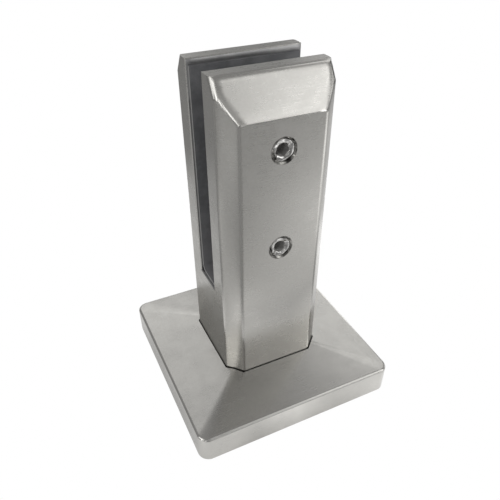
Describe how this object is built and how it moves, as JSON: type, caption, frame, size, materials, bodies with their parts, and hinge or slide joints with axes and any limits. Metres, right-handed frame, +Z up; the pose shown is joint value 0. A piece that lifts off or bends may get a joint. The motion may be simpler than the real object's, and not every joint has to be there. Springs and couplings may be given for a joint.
{
  "type": "glass railing spigot",
  "caption": "Square floor-fixed clamp post with a slotted head that grips the foot of a glass balustrade panel, with set screws and a base cover.",
  "frame": {"origin": "centre of the footprint, on the deck surface that the base flange and the cover's rim stand on", "axes": "+Z up along the post, X along the glass panel, the face with the two set screws towards -Y"},
  "size_m": [0.104, 0.104, 0.161],
  "materials": {
    "satin_steel": "satin ground stainless steel",
    "cover_steel": "satin pressed stainless sheet",
    "plate_steel": "rolled stainless plate",
    "screw_steel": "bright polished stainless",
    "rubber": "dull dark grey rubber"
  },
  "bodies": {
    "post": {"spigot_body": "satin_steel", "slot_liner": "rubber"},
    "cover": {"base_cover": "cover_steel"},
    "clamp": {"clamp_plate": "plate_steel", "clamp_pad": "rubber"},
    "upper_screw": {"upper_grub_screw": "screw_steel"},
    "lower_screw": {"lower_grub_screw": "screw_steel"}
  },
  "joints": [
    {"name": "cover_lift", "type": "slide", "parent": "post", "child": "cover", "axis": [0, 0, 1], "range_m": [0, 0.12]},
    {"name": "clamp_travel", "type": "slide", "parent": "post", "child": "clamp", "axis": [0, 1, 0], "range_m": [0, 0.0022]},
    {"name": "upper_screw_turn", "type": "hinge", "parent": "clamp", "child": "upper_screw", "pos_m": [0, -0.0164, 0.1333], "axis": [0, 1, 0], "range_deg": [0, 528]},
    {"name": "lower_screw_turn", "type": "hinge", "parent": "clamp", "child": "lower_screw", "pos_m": [0, -0.0164, 0.089], "axis": [0, 1, 0], "range_deg": [0, 528]}
  ],
  "couplings": [
    {"joint": "upper_screw_turn", "follows": "clamp_travel", "rad_per_m": 4188.8},
    {"joint": "lower_screw_turn", "follows": "clamp_travel", "rad_per_m": 4188.8}
  ]
}
